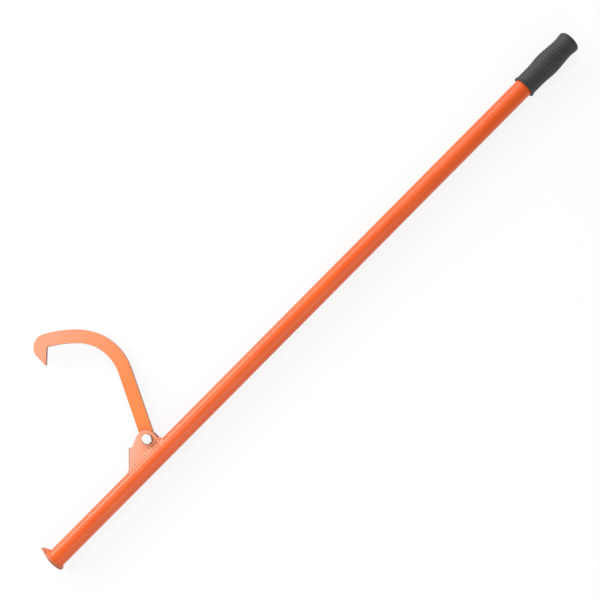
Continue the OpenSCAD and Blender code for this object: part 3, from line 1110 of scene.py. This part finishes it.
# Floor
# A wide white floor under the tool as it lies. It shows nearly white to the camera and keeps
# a faint shadow of the tool.
floor_half = 8.0
floor_white = (0.97, 0.97, 0.97)
floor_grey = (0.25, 0.25, 0.25)
floor_rough = 0.9
floor_lift = 0.84
plain_white = (1, 1, 1, 1)
paper, paper_tree, paper_main = surface("white floor")
paper_main.inputs["Roughness"].default_value = floor_rough
paper_main.inputs["Specular IOR Level"].default_value = 0
ray = shader(paper_tree, "ShaderNodeLightPath").outputs
seen = maths(paper_tree, "MAXIMUM", ray["Is Camera Ray"], ray["Is Glossy Ray"])
floor_body = blended(paper_tree, seen, floor_grey, floor_white)
paper_tree.links.new(floor_body, paper_main.inputs["Base Color"])
glow = shader(paper_tree, "ShaderNodeEmission", {"Color": plain_white, "Strength": 1.0})
lifted = shader(paper_tree, "ShaderNodeMixShader")
paper_tree.links.new(maths(paper_tree, "MULTIPLY", seen, floor_lift), lifted.inputs[0])
paper_tree.links.new(paper_main.outputs[0], lifted.inputs[1])
paper_tree.links.new(glow.outputs[0], lifted.inputs[2])
paper_tree.links.new(lifted.outputs[0], paper_tree.nodes["Material Output"].inputs[0])
ground = bmesh.new()
middle_x = (cad_low.x + cad_high.x) / 2
ground.faces.new([ground.verts.new((middle_x + floor_half * a, floor_half * b, cad_low.z))
                  for a, b in ((-1, -1), (1, -1), (1, 1), (-1, 1))])
floor = piece("floor", ground, paper, smooth=False)

# Light
# A dim room with five soft lamps: a strong one low beside the hook, one beside the grip, a wide
# weak one on the other side, and small ones above the point and the grip. Each has its place,
# what it looks at, its width and depth in metres, and its power in watts.
room_strength = 0.28
lamps = {
    "hook side lamp": ((-0.35, 2.05, 0.70), (0.10, 0, 0), 2.0, 1.25, 47.5),
    "grip end lamp": ((1.50, 1.90, 1.00), (1.00, 0, 0), 1.6, 1.2, 24.0),
    "far side lamp": ((0.05, -1.80, 1.30), (0.50, 0, 0), 2.8, 2.4, 32.0),
    "lamp above the point": ((-0.22, 0.90, 2.00), (0.20, 0.25, 0), 0.9, 0.9, 8.6),
    "lamp above the grip": ((1.75, 0.75, 2.00), (1.00, 0, 0), 1.3, 0.7, 5.0),
}
world = bpy.data.worlds.new("white room")
world.use_nodes = True
room = world.node_tree.nodes["Background"]
room.inputs["Color"].default_value = plain_white
seen_by_camera = shader(world.node_tree, "ShaderNodeLightPath").outputs["Is Camera Ray"]
brightness = ranged(world.node_tree, seen_by_camera, 0, 1, room_strength, 1)
world.node_tree.links.new(brightness, room.inputs["Strength"])
bpy.context.scene.world = world


def facing(place, right, up, back):
    """Where a lamp or the camera stands, and how it is turned."""
    return Matrix.Translation(place) @ Matrix((right, up, back)).transposed().to_4x4()


for name, (place, aim, width, depth, power) in lamps.items():
    lamp = bpy.data.lights.new(name, "AREA")
    lamp.shape = "RECTANGLE"
    lamp.size = width
    lamp.size_y = depth
    lamp.energy = power
    back = (Vector(place) - Vector(aim)).normalized()
    up = back.cross(Vector((1, 0, 0))).normalized()
    stand = bpy.data.objects.new(name, lamp)
    stand.matrix_world = facing(Vector(place), up.cross(back), up, back)
    stand.visible_camera = False
    bpy.context.scene.collection.objects.link(stand)

# Camera
# It looks down on the tool as it lies, leaning a little from the side away from the hook, and
# is turned so that the toe is at the lower left and the grip at the upper right.
lens_distance = 1934 * mm
lens_lean = radians(8.0)
picture_turn = radians(45.24)
picture_x = 596.2 * mm
picture_up = 15.1 * mm
focal = 69.84
film_width = 36
sight_end = 50
across = Vector((0, cos(lens_lean), sin(lens_lean)))
back = Vector((0, -sin(lens_lean), cos(lens_lean)))
right = Vector((cos(picture_turn), 0, 0)) - across * sin(picture_turn)
up = Vector((sin(picture_turn), 0, 0)) + across * cos(picture_turn)
camera = bpy.data.objects.new("camera", bpy.data.cameras.new("camera"))
camera.data.lens = focal
camera.data.sensor_width = film_width
camera.data.clip_end = sight_end
eye = Vector((picture_x, 0, 0)) + across * picture_up + back * lens_distance
camera.matrix_world = facing(eye, right, up, back)
bpy.context.scene.collection.objects.link(camera)
bpy.context.scene.camera = camera
bpy.context.scene.view_settings.view_transform = "Standard"

# Update
# The view layer is brought up to date.
bpy.context.view_layer.update()
